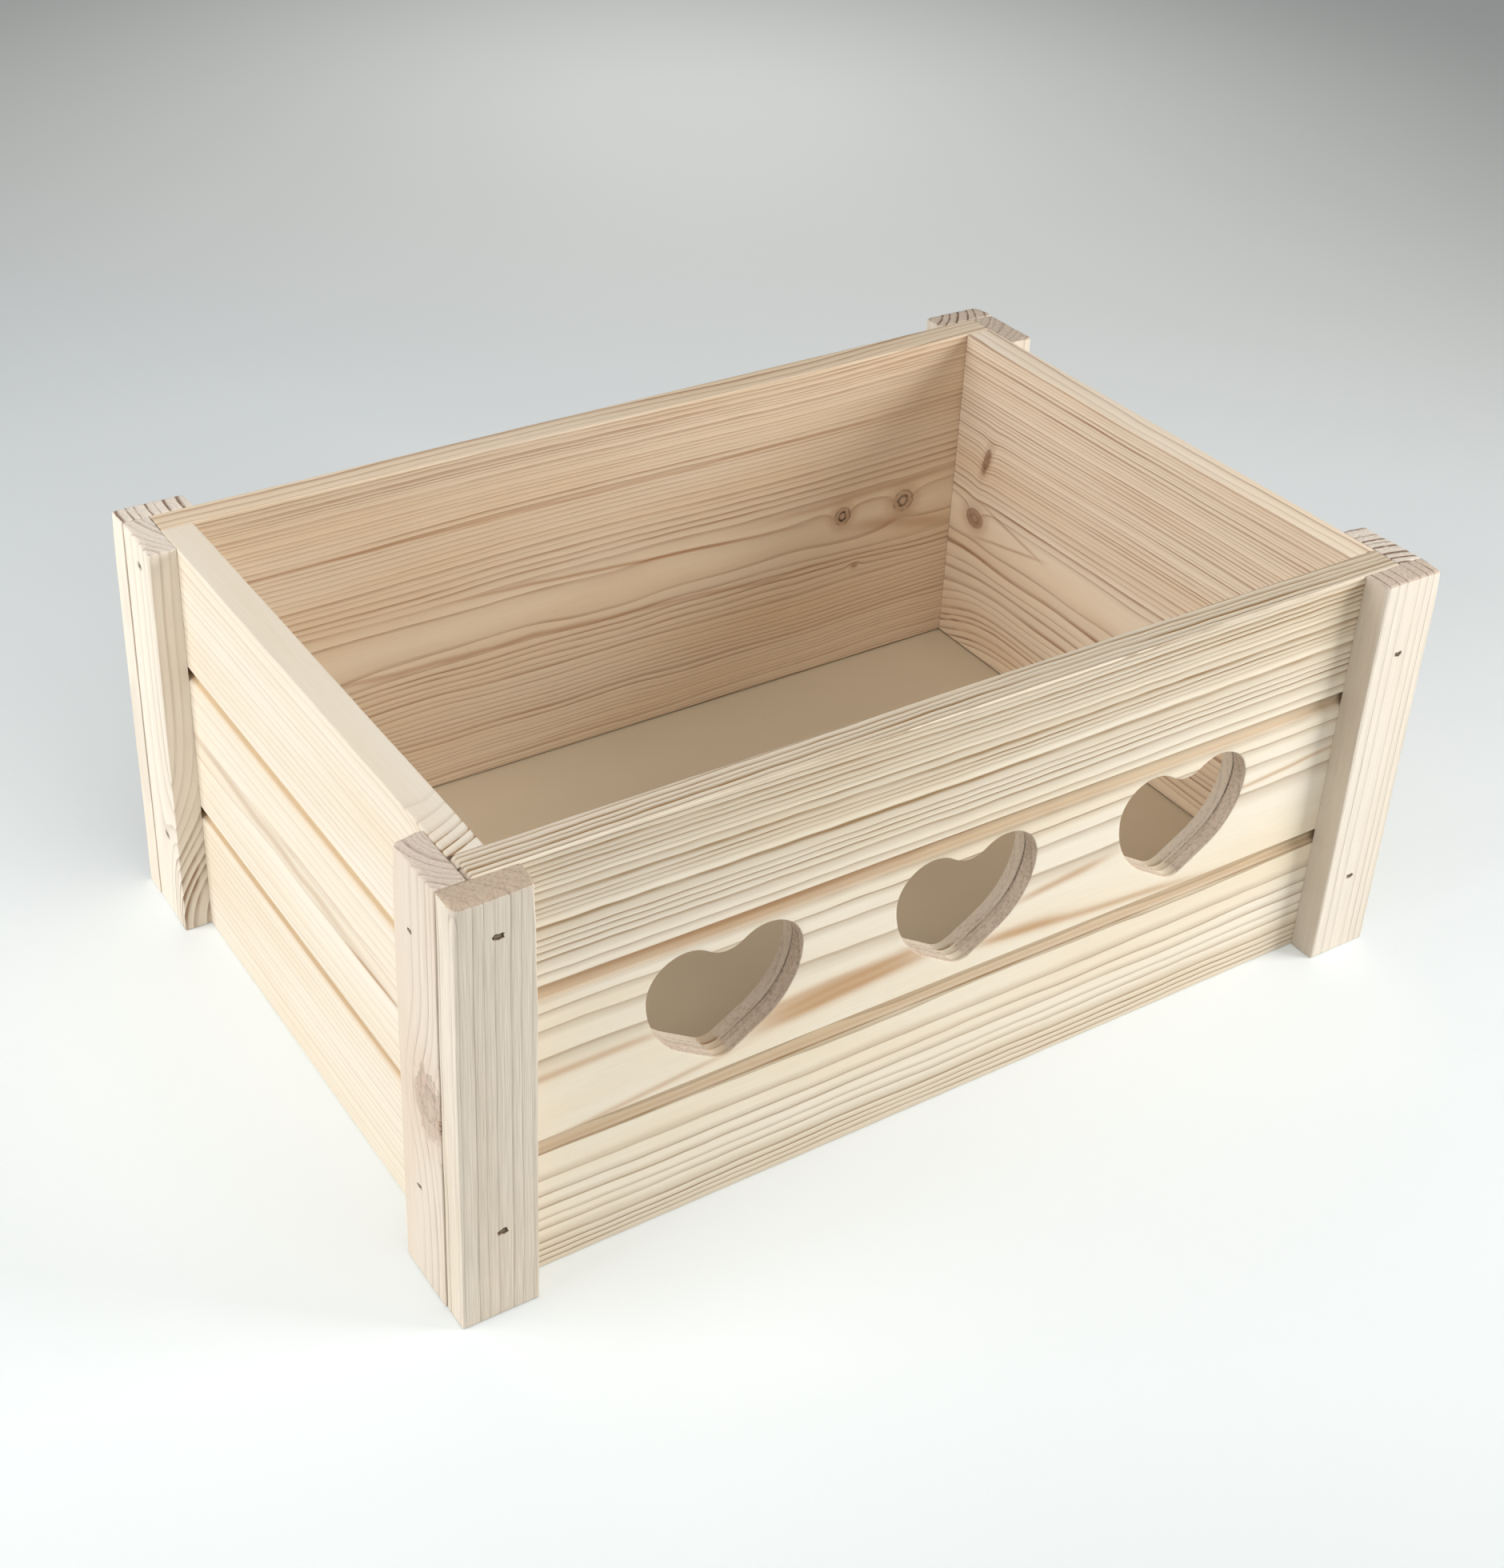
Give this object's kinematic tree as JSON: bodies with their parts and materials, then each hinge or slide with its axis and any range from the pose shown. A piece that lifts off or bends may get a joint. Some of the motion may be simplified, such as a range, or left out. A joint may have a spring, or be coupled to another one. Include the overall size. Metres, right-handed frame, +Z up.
{
  "type": "wooden toy box",
  "caption": "Open pine toy box with plank-grooved sides, upright corner battens, a let-in floor and heart cut-outs along the front.",
  "frame": {"origin": "on the ground, under the middle of the box", "axes": "+X along the length, the heart cut-outs face -Y, +Z up"},
  "size_m": [0.45, 0.306, 0.188],
  "materials": {
    "pine_board": "planed, unfinished pine",
    "pine_batten": "planed, unfinished pine",
    "floor_sheet": "smooth sanded sheet",
    "brad_steel": "plain wire"
  },
  "bodies": {
    "root": {"back_board": "pine_board", "back_left_batten": "pine_batten", "back_left_batten_brads": "brad_steel", "back_left_corner_nails": "brad_steel", "back_right_batten": "pine_batten", "back_right_batten_brads": "brad_steel", "back_right_corner_nails": "brad_steel", "floor_panel": "floor_sheet", "front_board": "pine_board", "front_left_batten": "pine_batten", "front_left_batten_brads": "brad_steel", "front_left_corner_nails": "brad_steel", "front_right_batten": "pine_batten", "front_right_batten_brads": "brad_steel", "front_right_corner_nails": "brad_steel", "left_back_batten": "pine_batten", "left_back_batten_brads": "brad_steel", "left_end_board": "pine_board", "left_front_batten": "pine_batten", "left_front_batten_brads": "brad_steel", "right_back_batten": "pine_batten", "right_back_batten_brads": "brad_steel", "right_end_board": "pine_board", "right_front_batten": "pine_batten", "right_front_batten_brads": "brad_steel"}
  },
  "joints": []
}
